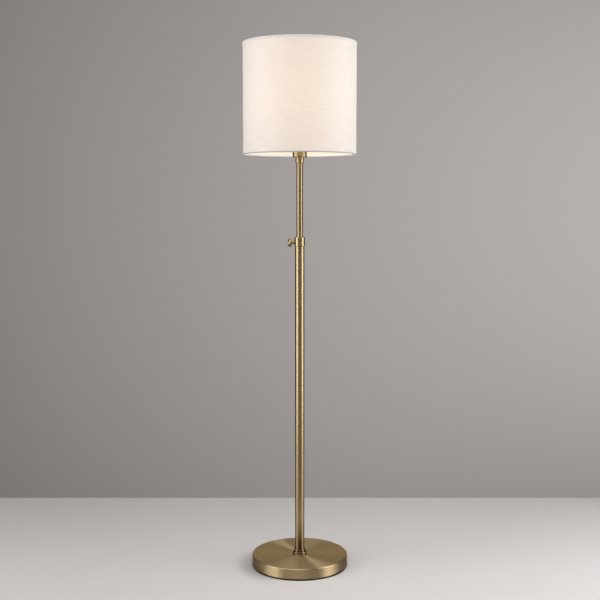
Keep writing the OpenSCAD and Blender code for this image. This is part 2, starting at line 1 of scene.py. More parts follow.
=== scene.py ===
# %% [markdown]
# # Dressing a telescopic floor lamp
#
# The lamp's metal parts arrive as a imported frame, at their real size and place. This script is a lesson in what
# is left to do: cloth, finishes, light and camera. It works in metres, with Z up and the floor at height 0.
#
# The frame comes first, because every other piece is measured from it, and most of them ride on one of its bodies.

import math

import bpy
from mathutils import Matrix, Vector, noise


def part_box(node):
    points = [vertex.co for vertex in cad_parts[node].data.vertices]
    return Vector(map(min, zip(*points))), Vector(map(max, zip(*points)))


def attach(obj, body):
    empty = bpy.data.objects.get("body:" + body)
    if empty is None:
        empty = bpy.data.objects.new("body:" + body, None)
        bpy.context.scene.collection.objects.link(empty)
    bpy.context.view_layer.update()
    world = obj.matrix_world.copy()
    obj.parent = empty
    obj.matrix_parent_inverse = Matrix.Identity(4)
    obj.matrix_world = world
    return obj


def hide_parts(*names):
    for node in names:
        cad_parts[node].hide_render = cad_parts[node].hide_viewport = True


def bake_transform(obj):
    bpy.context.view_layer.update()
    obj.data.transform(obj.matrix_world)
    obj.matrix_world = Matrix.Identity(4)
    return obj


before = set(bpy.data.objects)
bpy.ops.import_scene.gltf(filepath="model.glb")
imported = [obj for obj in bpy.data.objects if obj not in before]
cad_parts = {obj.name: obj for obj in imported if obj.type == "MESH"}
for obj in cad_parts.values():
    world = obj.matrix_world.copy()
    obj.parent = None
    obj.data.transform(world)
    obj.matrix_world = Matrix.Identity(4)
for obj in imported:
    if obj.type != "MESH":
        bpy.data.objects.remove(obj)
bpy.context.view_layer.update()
MM = 0.001

# %% [markdown]
# ## Camera
#
# The photograph was taken from about 2.8 m away, a little above the lamp's middle and tilted down. The long lens
# keeps the pole straight. The tilt is a rotation of the camera and not a shift of its picture, so any other view
# that starts from this camera stays centred on the lamp.

# %% Place the camera
CAMERA_PLACE = Vector((0.8, -2763.7, 999.0)) * MM
CAMERA_TILT = math.radians(5.547)
LENS_MM = 61.9


def add_camera():
    """The camera of the photograph."""
    data = bpy.data.cameras.new("camera")
    data.lens = LENS_MM
    data.sensor_width = 36
    camera = bpy.data.objects.new("camera", data)
    camera.location = CAMERA_PLACE
    camera.rotation_euler = (math.pi / 2 - CAMERA_TILT, 0, 0)
    bpy.context.scene.collection.objects.link(camera)
    bpy.context.scene.camera = camera
    return camera


camera = add_camera()
print(f"camera {-camera.location.y:.2f} m in front, {camera.location.z:.2f} m up")

# %% [markdown]
# ## Building with nodes
#
# A material here is a small program of nodes. A few helpers keep such programs short. The first places a node and
# fills its inputs, with a value or with a link, and the others use it for one small step each, such as a sum, a
# blend or a noise. They work in a material and in a node group alike, because both are node trees.

# %% Helpers for node trees
def place(tree, kind, inputs=None, **settings):
    """Adds a node, applies its settings, and links or fills each named input."""
    node = tree.nodes.new(kind)
    for name, value in settings.items():
        setattr(node, name, value)
    for name, value in (inputs or {}).items():
        if isinstance(value, bpy.types.NodeSocket):
            tree.links.new(value, node.inputs[name])
        else:
            node.inputs[name].default_value = value
    return node


def calc(tree, operation, *values):
    """One step of arithmetic on sockets or numbers."""
    return place(tree, "ShaderNodeMath", dict(enumerate(values)), operation=operation).outputs[0]


def ramp(tree, value, low, high, to_low=0.0, to_high=1.0):
    """Maps value from the span low..high to another span, softly and without running past its ends."""
    node = place(
        tree,
        "ShaderNodeMapRange",
        {"Value": value, "From Min": low, "From Max": high, "To Min": to_low, "To Max": to_high},
        interpolation_type="SMOOTHSTEP",
    )
    return node.outputs["Result"]


def blend_colours(tree, factor, first, second, mode="MIX"):
    """The first colour at factor 0 and the second at factor 1."""
    node = place(tree, "ShaderNodeMix", {"Factor": factor}, data_type="RGBA", blend_type=mode)
    for socket, value in ((node.inputs[6], first), (node.inputs[7], second)):
        if isinstance(value, bpy.types.NodeSocket):
            tree.links.new(value, socket)
        else:
            socket.default_value = (*value, 1.0)
    return node.outputs[2]


def vector_of(tree, x, y, z=0.0):
    """A vector made of three sockets or numbers."""
    return place(tree, "ShaderNodeCombineXYZ", {"X": x, "Y": y, "Z": z}).outputs[0]


def scaled(tree, vector, factor):
    """A vector made longer or shorter, or a colour made brighter or darker, by a factor."""
    return place(tree, "ShaderNodeVectorMath", {0: vector, "Scale": factor}, operation="SCALE").outputs[0]


def length_of(tree, vector):
    """How long a vector is."""
    return place(tree, "ShaderNodeVectorMath", {0: vector}, operation="LENGTH").outputs["Value"]


def noise_at(tree, vector, scale=1.0, detail=2.0, roughness=0.5):
    """A smooth random value from 0 to 1 at each place."""
    inputs = {"Vector": vector, "Scale": scale, "Detail": detail, "Roughness": roughness}
    return place(tree, "ShaderNodeTexNoise", inputs).outputs["Fac"]


def new_group(name, inputs, outputs):
    """An empty node group with named sockets, and the nodes where they come in and go out."""
    group = bpy.data.node_groups.new(name, "ShaderNodeTree")
    kinds = {"value": "NodeSocketFloat", "vector": "NodeSocketVector", "colour": "NodeSocketColor"}
    for title, kind in inputs.items():
        group.interface.new_socket(title, in_out="INPUT", socket_type=kinds[kind])
    for title, kind in outputs.items():
        group.interface.new_socket(title, in_out="OUTPUT", socket_type=kinds[kind])
    return group, group.nodes.new("NodeGroupInput").outputs, group.nodes.new("NodeGroupOutput").inputs


def use_group(tree, group, inputs):
    """Places a group in a tree, fills its inputs and returns its outputs. A colour may be given without alpha."""
    inputs = {k: (*v, 1.0) if isinstance(v, tuple) and len(v) == 3 else v for k, v in inputs.items()}
    return place(tree, "ShaderNodeGroup", inputs, node_tree=group).outputs


# %% [markdown]
# ## Where a finish runs
#
# Most of the lamp was turned on a lathe or wrapped round a drum, so its marks run round an axis. Two groups turn
# a place on a part into coordinates that follow it: how far round, how far along the axis, and how far out. The
# first is for the upright axis of the lamp, with its seam at the back, where the real shade has one too. The
# second is for the thumb screw, which lies on its side. Both are made by one function, which is told how to pick
# the two directions across the axis and the one along it.

# %% Group: round an upright axis
def make_round(name, pick):
    """A group that gives coordinates round an axis. The angle is 0 in the second direction that pick gives."""
    group, into, out = new_group(name, {"Place": "vector"}, {"Round": "value", "Up": "value", "Out": "value"})
    parts = place(group, "ShaderNodeSeparateXYZ", {"Vector": into["Place"]}).outputs
    aside, ahead, along = pick(group, parts)
    radius = length_of(group, vector_of(group, aside, ahead))
    angle = calc(group, "ARCTAN2", aside, ahead)
    group.links.new(calc(group, "MULTIPLY", angle, radius), out["Round"])
    group.links.new(along, out["Up"])
    group.links.new(radius, out["Out"])
    return group


def pick_upright(group, parts):
    """Across the lamp's axis from the front, and up along it."""
    return parts["X"], calc(group, "MULTIPLY", parts["Y"], -1.0), parts["Z"]


round_upright = make_round("round_upright", pick_upright)
print("group", round_upright.name)

# %% Group: round the thumb screw's axis
screw_low, screw_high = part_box("clamp_stud")
SCREW_HEIGHT = (screw_low.z + screw_high.z) / 2


def pick_screw(group, parts):
    """Across the screw's axis from its top, and sideways along it."""
    return parts["Y"], calc(group, "SUBTRACT", parts["Z"], SCREW_HEIGHT), parts["X"]


round_screw = make_round("round_screw", pick_screw)
print(f"thumb screw's axis is {SCREW_HEIGHT:.3f} m up")

# %% [markdown]
# ## Brushed lines
#
# Satin brass gets its look from thousands of fine scratches that all run one way. Modelling them is hopeless and
# a picture of them would blur close up, so a noise is stretched: very short across the lines and very long along
# them. One group serves every metal, and each material says which way its lines run and how wide they are.

# %% Group: brushed lines
LINE_LENGTH = 160.0  # in widths


def make_brushed_lines():
    """A mask of fine lines, and their height for the bump."""
    group, into, out = new_group(
        "brushed_lines",
        {"Across": "value", "Along": "value", "Width": "value"},
        {"Lines": "value", "Height": "value"},
    )
    across = calc(group, "DIVIDE", into["Across"], into["Width"])
    along = calc(group, "DIVIDE", into["Along"], calc(group, "MULTIPLY", into["Width"], LINE_LENGTH))
    fine = noise_at(group, vector_of(group, across, along), detail=3.0, roughness=0.65)
    coarse = noise_at(group, vector_of(group, across, along, 7.0), scale=0.17, detail=1.0)
    lines = calc(group, "ADD", calc(group, "MULTIPLY", fine, 0.65), calc(group, "MULTIPLY", coarse, 0.35))
    group.links.new(ramp(group, lines, 0.3, 0.7), out["Lines"])
    group.links.new(lines, out["Height"])
    return group


brushed_lines = make_brushed_lines()
print("group", brushed_lines.name)

# %% [markdown]
# ## Age
#
# Lacquered brass is never one colour. It clouds slowly, in patches as wide as a hand, and it carries small
# smudges. The group gives a mask for each, so that a material can darken its colour with one and dull its gloss
# with the other.

# %% Group: clouds and smudges
def make_age():
    """Two masks: slow clouds, and small smudges."""
    group, into, out = new_group(
        "age", {"Place": "vector", "Cloud Size": "value"}, {"Clouds": "value", "Smudges": "value"}
    )
    sized = scaled(group, into["Place"], calc(group, "DIVIDE", 1.0, into["Cloud Size"]))
    group.links.new(ramp(group, noise_at(group, sized, detail=3.0), 0.35, 0.7), out["Clouds"])
    group.links.new(ramp(group, noise_at(group, sized, scale=4.3, detail=5.0), 0.5, 0.72), out["Smudges"])
    return group


age = make_age()
print("group", age.name)

# %% [markdown]
# ## Woven cloth
#
# The shade's linen is a plain weave: each thread passes over one neighbour and under the next. Its threads are
# uneven, and here and there a thick stretch, a slub, shows as a short bright or dark dash. Light from inside
# comes through the gaps between threads, so the group gives the threads' height, the gaps, and a tone that
# varies from thread to thread.

# %% Group: woven cloth
def thread_noise(group, into, per_round, per_up, seed):
    """A noise that is long along a thread and changes from each thread to the next. The rates are per metre."""
    across, up = calc(group, "MULTIPLY", into["Round"], per_round), calc(group, "MULTIPLY", into["Up"], per_up)
    return noise_at(group, vector_of(group, across, up, seed), detail=2.0, roughness=0.6)


def make_woven_cloth():
    """A plain weave of uneven threads."""
    group, into, out = new_group(
        "woven_cloth",
        {"Round": "value", "Up": "value", "Pitch": "value", "Slub": "value"},
        {"Tone": "value", "Gaps": "value", "Height": "value"},
    )
    wander = noise_at(group, vector_of(group, into["Round"], into["Up"]), scale=45.0, detail=2.0)
    drift = calc(group, "MULTIPLY", calc(group, "SUBTRACT", wander, 0.5), into["Pitch"])
    phase_round = calc(group, "DIVIDE", calc(group, "ADD", into["Round"], drift), into["Pitch"])
    phase_up = calc(group, "DIVIDE", calc(group, "ADD", into["Up"], drift), into["Pitch"])
    wave_round = calc(group, "SINE", calc(group, "MULTIPLY", phase_round, math.pi))
    wave_up = calc(group, "SINE", calc(group, "MULTIPLY", phase_up, math.pi))
    crossing = calc(group, "MULTIPLY", wave_round, wave_up)
    over = ramp(group, crossing, -0.35, 0.35)
    warp = calc(group, "ABSOLUTE", wave_round)
    weft = calc(group, "ABSOLUTE", wave_up)
    height = calc(
        group, "ADD", calc(group, "MULTIPLY", warp, over),
        calc(group, "MULTIPLY", weft, calc(group, "SUBTRACT", 1.0, over)),
    )
    gaps = calc(group, "MULTIPLY", calc(group, "SUBTRACT", 1.0, warp), calc(group, "SUBTRACT", 1.0, weft))
    # The slubs and the rows run along the weft, which goes round the drum, and the threads along the upright warp
    weft_noise = thread_noise(group, into, 30.0, 400.0, 0.0)
    warp_noise = thread_noise(group, into, 360.0, 28.0, 3.0)
    row_noise = thread_noise(group, into, 24.0, 360.0, 9.0)
    slubs = ramp(group, weft_noise, 0.6, 0.78)
    thin = ramp(group, weft_noise, 0.36, 0.24)
    threads = calc(group, "MULTIPLY", calc(group, "SUBTRACT", warp_noise, 0.5), 0.8)
    rows = calc(group, "MULTIPLY", calc(group, "SUBTRACT", row_noise, 0.5), 0.9)
    dashes = calc(group, "SUBTRACT", slubs, calc(group, "MULTIPLY", thin, 0.8))
    tone = calc(group, "ADD", calc(group, "ADD", threads, rows), dashes)
    group.links.new(calc(group, "MULTIPLY", tone, into["Slub"]), out["Tone"])
    group.links.new(gaps, out["Gaps"])
    group.links.new(
        calc(group, "ADD", height, calc(group, "MULTIPLY", slubs, into["Slub"])), out["Height"]
    )
    return group


woven_cloth = make_woven_cloth()


def weave_at(tree, here, pitch, slub):
    """The cloth that is wrapped round the lamp's axis, and the coordinates round that axis."""
    around = use_group(tree, round_upright, {"Place": here})
    weave = use_group(
        tree, woven_cloth, {"Round": around["Round"], "Up": around["Up"], "Pitch": pitch, "Slub": slub}
    )
    return weave, around


print("group", woven_cloth.name)

# %% [markdown]
# ## The lamp's own glow
#
# The lamp is lit. Real light that soaks through cloth is slow and noisy to render, so the cloth gives off its own
# light instead, and a group says how much: most at the height of the bulb, less towards the two rims, by the
# distance from the bulb to the cloth. Every lit piece uses the same group, so their glow always agrees.

# %% Group: glow by distance from the bulb
globe_low, globe_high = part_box("bulb_globe")
linen_low, linen_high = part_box("shade_linen")
GLOW_CENTRE = Vector((0, 0, globe_high.z + 24 * MM))
DRUM_RADIUS = (linen_high.x - linen_low.x) / 2


def make_glow():
    """From the near colour to the far one, the faster the larger the spread."""
    group, into, out = new_group(
        "glow", {"Place": "vector", "Near": "colour", "Far": "colour", "Spread": "value"}, {"Glow": "colour"}
    )
    away = place(
        group, "ShaderNodeVectorMath", {0: into["Place"], 1: GLOW_CENTRE}, operation="SUBTRACT"
    ).outputs[0]
    strength = calc(group, "POWER", calc(group, "DIVIDE", DRUM_RADIUS, length_of(group, away)), into["Spread"])
    strength = calc(group, "MINIMUM", strength, 1.0)
    group.links.new(blend_colours(group, strength, into["Far"], into["Near"]), out["Glow"])
    return group


glow = make_glow()
print(f"glow is centred {GLOW_CENTRE.z:.3f} m up")

# %% [markdown]
# ## Materials
#
# Each finish below is one function that returns one material. A constant such as the metal's anisotropy goes
# straight on the shader, and only what changes over the surface comes through nodes.

# %% Helpers for materials
def new_material(name, **constants):
    """A node material, its tree, its shader, and the place on the part in the lamp's own coordinates."""
    material = bpy.data.materials.new(name)
    material.use_nodes = True
    tree = material.node_tree
    shader = tree.nodes["Principled BSDF"]
    for title, value in constants.items():
        shader.inputs[title.replace("_", " ")].default_value = value
    place_socket = place(tree, "ShaderNodeTexCoord").outputs["Object"]
    return material, tree, shader, place_socket


def base_colour(tree, shader, factor, first, second):
    """Gives the shader a colour between two others."""
    tree.links.new(blend_colours(tree, factor, first, second), shader.inputs["Base Color"])


def bump(tree, shader, height, depth):
    """Feeds a height to the shader's normal. The depth is in metres."""
    node = place(tree, "ShaderNodeBump", {"Height": height, "Distance": depth, "Strength": 1.0})
    tree.links.new(node.outputs["Normal"], shader.inputs["Normal"])


def paint(material, *names):
    """Gives one material to CAD nodes."""
    for name in names:
        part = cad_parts[name]
        part.data.materials.clear()
        part.data.materials.append(material)
    print(f"{material.name} on {len(names)} parts")


# %% [markdown]
# ### Aged brass
#
# Brass reflects red most and blue least, so its colour is in what it mirrors. The brushing runs round the turned
# parts. On the flat top of the base it runs in circles, and the shader's tangent turns with it, which draws the
# two pale wedges that the photograph shows there. The poles are drawn and polished, so their finish is nearly
# even in all directions.
#
# A round part of this brass has a painted dark outline: its colour is darkened where the surface turns away from
# the eye, and the tint of its reflection at a slant is dark, as if its edge mirrored dark surroundings. Low on the
# pole its colour is also darkened where the surface faces the eye, a painted reflection of the shade between the
# base and the pole.

# %% Brass
BRASS_BRIGHT = (0.55, 0.425, 0.24)
BRASS_TARNISHED = (0.37, 0.265, 0.125)
# The tint of the brass's reflection at a slant; it is dark, as part of the painted dark outline
OUTLINE_TINT = (0.45, 0.36, 0.24, 1.0)
CLOUD_SIZE = 90 * MM
LINE_DEPTH = 0.0002 * MM
cover_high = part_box("base_cover")[1]
SHOULDER = 2.4 * MM
FOOT_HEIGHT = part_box("foot_ring")[1].z
FOOT_SHADE = 100 * MM


def make_brass(
    name, axis_group, across, line_width, roughness, anisotropic, line_tone=0.08, outline=1.0,
    outline_span=(0.22, 0.6), foot=0.0, side=0.0, coat_roughness=0.15, tangent_axis="Z", lift=1.0,
):
    """Brushed brass. Line_tone is how much its lines differ in colour, outline is what its edge keeps of its
    brightness over a span of slants, a painted dark outline, foot is how far the pole's foot is darkened, a painted
    reflection of shade, side is how much duller the base's upright side is than its top, and lift brightens the
    whole piece."""
    material, tree, shader, here = new_material(
        name, Metallic=1.0, Anisotropic=anisotropic, Anisotropic_Rotation=0.25, Coat_Weight=0.4,
        Coat_Roughness=coat_roughness, Specular_Tint=OUTLINE_TINT,
    )
    around = use_group(tree, axis_group, {"Place": here})
    lines = use_group(
        tree, brushed_lines, {"Across": around[across], "Along": around["Round"], "Width": line_width}
    )
    wear = use_group(tree, age, {"Place": here, "Cloud Size": CLOUD_SIZE})
    dark = calc(tree, "ADD", calc(tree, "MULTIPLY", wear["Clouds"], 0.14), calc(
        tree, "MULTIPLY", lines["Lines"], line_tone
    ))
    # Painted dark outline: the colour is darkened where the surface turns away from the eye
    askance = place(tree, "ShaderNodeLayerWeight", {"Blend": 0.5}).outputs["Facing"]
    edge = ramp(tree, askance, *outline_span, 1.0, outline)
    # Painted reflection of shade: low on the pole, the colour is darkened where the surface faces the eye
    low = ramp(tree, around["Up"], FOOT_HEIGHT, FOOT_HEIGHT + FOOT_SHADE, foot, 0.0)
    shade = calc(tree, "MULTIPLY", low, ramp(tree, askance, 0.08, 0.3, 1.0, 0.0))
    shown = calc(tree, "MULTIPLY", calc(tree, "MULTIPLY", edge, lift), calc(tree, "SUBTRACT", 1.0, shade))
    metal = blend_colours(tree, dark, BRASS_BRIGHT, BRASS_TARNISHED)
    tree.links.new(scaled(tree, metal, shown), shader.inputs["Base Color"])
    rough = calc(tree, "ADD", roughness, calc(tree, "MULTIPLY", lines["Lines"], 0.02))
    rough = calc(tree, "ADD", rough, calc(tree, "MULTIPLY", wear["Smudges"], 0.02))
    rough = calc(tree, "ADD", rough, ramp(
        tree, around["Up"], cover_high.z - SHOULDER, cover_high.z - SHOULDER / 2, side, 0.0
    ))
    tree.links.new(rough, shader.inputs["Roughness"])
    bump(tree, shader, lines["Height"], LINE_DEPTH)
    tangent = place(tree, "ShaderNodeTangent", direction_type="RADIAL", axis=tangent_axis)
    tree.links.new(tangent.outputs[0], shader.inputs["Tangent"])
    return material


brass_turned = make_brass(
    "brass_turned", round_upright, "Up", line_width=0.11 * MM, roughness=0.36, anisotropic=0.1, outline=0.15,
    foot=0.85,
)
brass_drawn = make_brass(
    "brass_drawn", round_upright, "Up", line_width=0.08 * MM, roughness=0.34, anisotropic=0.1, outline=0.25,
    outline_span=(0.1, 0.32),
)
brass_spun = make_brass(
    "brass_spun", round_upright, "Out", line_width=0.16 * MM, roughness=0.28, anisotropic=1.0, line_tone=0.22,
    side=0.22, coat_roughness=0.4, lift=1.15,
)
brass_knob = make_brass(
    "brass_knob", round_screw, "Out", line_width=0.1 * MM, roughness=0.28, anisotropic=0.9, outline=0.4,
    tangent_axis="X",
)
paint(
    brass_turned, "foot_ring", "lower_pole", "clamp_collar", "tube_ferrule", "holder_cup", "holder_barrel",
    "shade_seat_ring", "shade_clamp_ring", "holder_terminals", "holder_contact",
)
paint(brass_drawn, "sliding_tube")
paint(brass_spun, "base_cover")
paint(brass_knob, "clamp_knob", "clamp_stud")

# %% [markdown]
# ### Steel, iron and plastics
#
# The pieces inside the base, the pole and the lamp holder hardly show, but they are finished as what they are:
# zinc-plated fastenings, a raw casting, natural and black plastic, glazed porcelain.

# %% Zinc-plated steel
def make_zinc():
    """Small crystals that differ in tone and gloss."""
    material, tree, shader, here = new_material("zinc_plate", Metallic=1.0)
    crystals = place(tree, "ShaderNodeTexVoronoi", {"Vector": here, "Scale": 900.0}).outputs["Color"]
    tone = place(tree, "ShaderNodeSeparateXYZ", {"Vector": crystals}).outputs["X"]
    base_colour(tree, shader, tone, (0.52, 0.52, 0.51), (0.66, 0.66, 0.64))
    tree.links.new(ramp(tree, tone, 0.0, 1.0, 0.26, 0.4), shader.inputs["Roughness"])
    return material


paint(
    make_zinc(), "base_washer", "base_nut", "base_nipple", "pole_plug", "holder_nipple", "holder_screw_shell",
    "bulb_cap", "bulb_tip_contact",
)

# %% Raw cast iron
def make_iron():
    """A rough grey casting with a little rust."""
    material, tree, shader, here = new_material("cast_iron", Metallic=0.85)
    grain = noise_at(tree, here, scale=700.0, detail=6.0, roughness=0.7)
    rust = ramp(tree, noise_at(tree, here, scale=38.0, detail=5.0), 0.52, 0.72)
    colour = blend_colours(tree, grain, (0.055, 0.055, 0.058), (0.15, 0.15, 0.155))
    base_colour(tree, shader, rust, colour, (0.12, 0.062, 0.035))
    tree.links.new(ramp(tree, grain, 0.3, 0.7, 0.5, 0.75), shader.inputs["Roughness"])
    bump(tree, shader, grain, 0.25 * MM)
    return material


paint(make_iron(), "base_weight")

# %% Plastics, porcelain and enamel
def make_moulded(name, light, dark, roughness, grain_depth, grain_scale=1400.0):
    """A moulded or sprayed finish: one colour that drifts slightly, over a fine grain."""
    material, tree, shader, here = new_material(name)
    drift = noise_at(tree, here, scale=60.0, detail=4.0)
    grain = noise_at(tree, here, scale=grain_scale, detail=3.0)
    base_colour(tree, shader, drift, light, dark)
    tree.links.new(ramp(tree, grain, 0.3, 0.7, roughness * 0.85, roughness * 1.15), shader.inputs["Roughness"])
    bump(tree, shader, grain, grain_depth)
    return material


nylon = make_moulded("nylon", (0.74, 0.72, 0.66), (0.66, 0.64, 0.57), 0.42, 0.02 * MM)
black_plastic = make_moulded("black_plastic", (0.022, 0.022, 0.024), (0.035, 0.035, 0.036), 0.38, 0.03 * MM)
porcelain = make_moulded("porcelain", (0.83, 0.81, 0.75), (0.79, 0.76, 0.69), 0.14, 0.01 * MM, 300.0)
paint(nylon, "terminal_block", "guide_bush", "clamp_pad", "slider_bush")
paint(black_plastic, "cord_inlet_bush", "bulb_insulator", "lead_in_base", "lead_in_tube")
paint(porcelain, "holder_core")

# %% [markdown]
# ### Lit surfaces
#
# The wire frame is white enamel. It stands in strong warm light, so it takes a little glow of its own, and so do
# the opal bulb and the stiff white lining that the linen is bonded to.

# %% White enamel wire
LIGHT_NEAR = (1.0, 0.86, 0.62)
LIGHT_FAR = (0.62, 0.47, 0.30)


def make_enamel():
    """White powder coat that glows a little, as it stands beside the bulb."""
    material, tree, shader, here = new_material("white_enamel", Emission_Strength=0.35)
    grain = noise_at(tree, here, scale=1500.0, detail=3.0)
    base_colour(tree, shader, grain, (0.80, 0.79, 0.76), (0.86, 0.85, 0.82))
    tree.links.new(ramp(tree, grain, 0.3, 0.7, 0.3, 0.42), shader.inputs["Roughness"])
    bump(tree, shader, grain, 0.02 * MM)
    lit = use_group(tree, glow, {"Place": here, "Near": LIGHT_NEAR, "Far": LIGHT_FAR, "Spread": 2.0})
    tree.links.new(lit["Glow"], shader.inputs["Emission Color"])
    return material


paint(make_enamel(), "shade_frame", "shade_top_wire")

# %% Opal bulb
def make_opal():
    """Opal globe that shines, over a housing that doesn't."""
    material, tree, shader, here = new_material("opal", Emission_Strength=3.0, Roughness=0.25)
    height = place(tree, "ShaderNodeSeparateXYZ", {"Vector": here}).outputs["Z"]
    lit = ramp(tree, height, globe_low.z - 6 * MM, globe_low.z + 8 * MM)
    grain = noise_at(tree, here, scale=800.0, detail=2.0)
    base_colour(tree, shader, grain, (0.86, 0.85, 0.82), (0.90, 0.89, 0.86))
    tree.links.new(
        blend_colours(tree, lit, (0.03, 0.025, 0.02), (1.0, 0.88, 0.68)), shader.inputs["Emission Color"]
    )
    return material


paint(make_opal(), "bulb_globe", "bulb_housing")

# %% Stiff white lining
def make_lining():
    """Stiff white plastic, through which the linen's weave shows faintly."""
    material, tree, shader, here = new_material("shade_lining", Emission_Strength=0.2, Roughness=0.5)
    weave = weave_at(tree, here, 0.9 * MM, 0.35)[0]
    base_colour(tree, shader, weave["Gaps"], (0.84, 0.80, 0.72), (0.80, 0.75, 0.66))
    lit = use_group(tree, glow, {"Place": here, "Near": LIGHT_NEAR, "Far": (0.70, 0.54, 0.36), "Spread": 1.6})
    toned = blend_colours(tree, calc(tree, "ADD", 0.5, weave["Tone"]), (0.93, 0.93, 0.93), (1.0, 1.0, 1.0))
    tree.links.new(blend_colours(tree, 1.0, lit["Glow"], toned, "MULTIPLY"), shader.inputs["Emission Color"])
    return material


paint(make_lining(), "shade_lining")

# %% [markdown]
# ## Cloth
#
# Three pieces of cloth make the shade: the linen, wrapped once round the lining with a lap at the back, and two
# narrow hems that fold over the drum's edges and round its wires. All three are strips that go once round and
# overlap themselves, so one function makes them. It follows a cross-section round the axis and lifts the last
# stretch off the first by the thickness of the cloth. A little noise keeps the cloth from looking machined.

# %% A strip of cloth wrapped round the axis
STEPS_ROUND = 720
BACK = math.pi / 2
RISE = 0.35  # share of a lap over which it lifts off its own start
UNEVEN_ROUND, UNEVEN_UP = 9, 55  # how fast the cloth's unevenness changes, round the axis and up it


def eased(share):
    """Goes from 0 to 1 as share does, with a soft start and a soft end."""
    return share * share * (3 - 2 * share)


def noise_round(angle, up, rate_round, rate_up):
    """A smooth random value that joins up once round the axis."""
    return noise.noise(Vector((math.cos(angle) * rate_round, math.sin(angle) * rate_round, up * rate_up)))


def section_normals(section):
    """The outward direction at each point of an open cross-section of (out, up) points."""
    normals = []
    for i in range(len(section)):
        before, after = section[max(i - 1, 0)], section[min(i + 1, len(section) - 1)]
        along = Vector((after[0] - before[0], after[1] - before[1])).normalized()
        normals.append(Vector((along.y, -along.x)))
    return normals


def wrapped_strip(name, section, lap, lift, unevenness, keep=None):
    """A strip whose cross-section goes once round from the back, plus the lap, where it lies on its own start.
    Keep says which faces stay, by their angle and their index in the section. Without it, all of them stay."""
    normals = section_normals(section)
    radius = max(point[0] for point in section)
    lap_angle = lap / radius
    total = 2 * math.pi + lap_angle
    vertices, faces = [], []
    for step in range(STEPS_ROUND + 1):
        turned = total * step / STEPS_ROUND
        angle = BACK - lap_angle / 2 + turned
        into_lap = min(max((turned - 2 * math.pi + lap_angle * RISE) / (lap_angle * RISE), 0.0), 1.0)
        raised = lift * eased(into_lap)
        for (out, up), normal in zip(section, normals):
            shift = raised + unevenness * noise_round(angle, up, UNEVEN_ROUND, UNEVEN_UP)
            reach = out + normal.x * shift
            vertices.append((math.cos(angle) * reach, math.sin(angle) * reach, up + normal.y * shift))
    count = len(section)
    for step in range(STEPS_ROUND):
        angle = BACK - lap_angle / 2 + total * (step + 0.5) / STEPS_ROUND
        for index in range(count - 1):
            if keep is None or keep(angle, index):
                a = step * count + index
                faces.append((a, a + count, a + count + 1, a + 1))
    return new_piece(name, vertices, faces)


def new_piece(name, vertices, faces):
    """A smooth mesh object in the scene."""
    mesh = bpy.data.meshes.new(name)
    mesh.from_pydata(vertices, [], faces)
    mesh.validate()
    mesh.shade_smooth()
    piece = bpy.data.objects.new(name, mesh)
    bpy.context.scene.collection.objects.link(piece)
    return piece


def thicken(piece, thickness):
    """Gives a sheet its real thickness, half to each side."""
    solid = piece.modifiers.new("thickness", "SOLIDIFY")
    solid.thickness = thickness
    solid.offset = 0.0
    solid.use_even_offset = True
    return piece


# %% [markdown]
# ### Linen
#
# The cloth's colour and its glow are two halves of one look. Thick threads are undyed flax: a little darker by
# daylight, and darker still against the bulb, because they let less of its light through. The gaps between
# threads pass the most.

# %% Linen
LINEN_THICK = 0.5 * MM
LINEN_INSET = 0.3 * MM  # from CAD's face to the cloth's middle
LINEN_LAP = 10 * MM
LAP_LIFT = 0.55 * MM
LINEN_UNEVEN = 0.05 * MM
LINEN_ROWS = 60


def make_linen_cloth():
    """Linen that is lit from inside: the bulb's light comes through it by the gaps between its threads."""
    material, tree, shader, here = new_material(
        "linen", Emission_Strength=1.0, Roughness=0.92, Sheen_Weight=0.15, Sheen_Roughness=0.5
    )
    weave = weave_at(tree, here, 0.85 * MM, 1.0)[0]
    thick = ramp(tree, weave["Tone"], -0.3, 0.35)
    base_colour(tree, shader, thick, (0.69, 0.685, 0.72), (0.575, 0.595, 0.605))
    lit = use_group(
        tree, glow, {"Place": here, "Near": (0.43, 0.318, 0.205), "Far": (0.26, 0.182, 0.118), "Spread": 1.6}
    )
    through = calc(tree, "ADD", ramp(tree, thick, 0.0, 1.0, 1.01, 0.97), calc(
        tree, "MULTIPLY", weave["Gaps"], 0.25
    ))
    # Looked at askance, cloth is thicker and passes less of the bulb's light
    askance = place(tree, "ShaderNodeLayerWeight", {"Blend": 0.5}).outputs["Facing"]
    through = calc(tree, "MULTIPLY", through, ramp(tree, askance, 0.0, 1.0, 1.0, 0.6))
    tree.links.new(scaled(tree, lit["Glow"], through), shader.inputs["Emission Color"])
    bump(tree, shader, weave["Height"], 0.12 * MM)
    return material


def add_linen():
    """The linen, in place of CAD's plain drum."""
    heights = [linen_low.z + (linen_high.z - linen_low.z) * i / LINEN_ROWS for i in range(LINEN_ROWS + 1)]
    section = [(DRUM_RADIUS - LINEN_INSET, height) for height in heights]
    piece = wrapped_strip("shade_linen_cloth", section, LINEN_LAP, LAP_LIFT, LINEN_UNEVEN)
    thicken(piece, LINEN_THICK)
    piece.data.materials.append(make_linen_cloth())
    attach(piece, "upper")
    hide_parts("shade_linen")
    return piece


linen = add_linen()
print(f"linen, {len(linen.data.polygons)} faces, {linen_high.z - linen_low.z:.3f} m high")

# %% [markdown]
# ### Hems
#
# A hem is a tape of white cotton, a little cooler than the linen. Seen in section it comes down the outside, folds
# under the drum's edge, goes round the wire and ends inside. The lower hem is slit where the three arms of the
# wire frame leave it. The upper hem is the same section turned over, without slits.

# %% Hem tape
TAPE = 0.6 * MM
HEM_THICK = TAPE * 0.9
HEM_LAP = 8 * MM
HEM_UNEVEN = 0.04 * MM
WALL_OUT, WALL_IN = 150.0 * MM, 148.8 * MM
WIRE_CENTRE, WIRE_RADIUS = 147.2 * MM, 1.5 * MM
ARM_ANGLES = [math.radians(a) for a in (90, 210, 330)]
ARM_SLIT = 1.9 * MM
FOLD_SHADE = 3.0 * MM


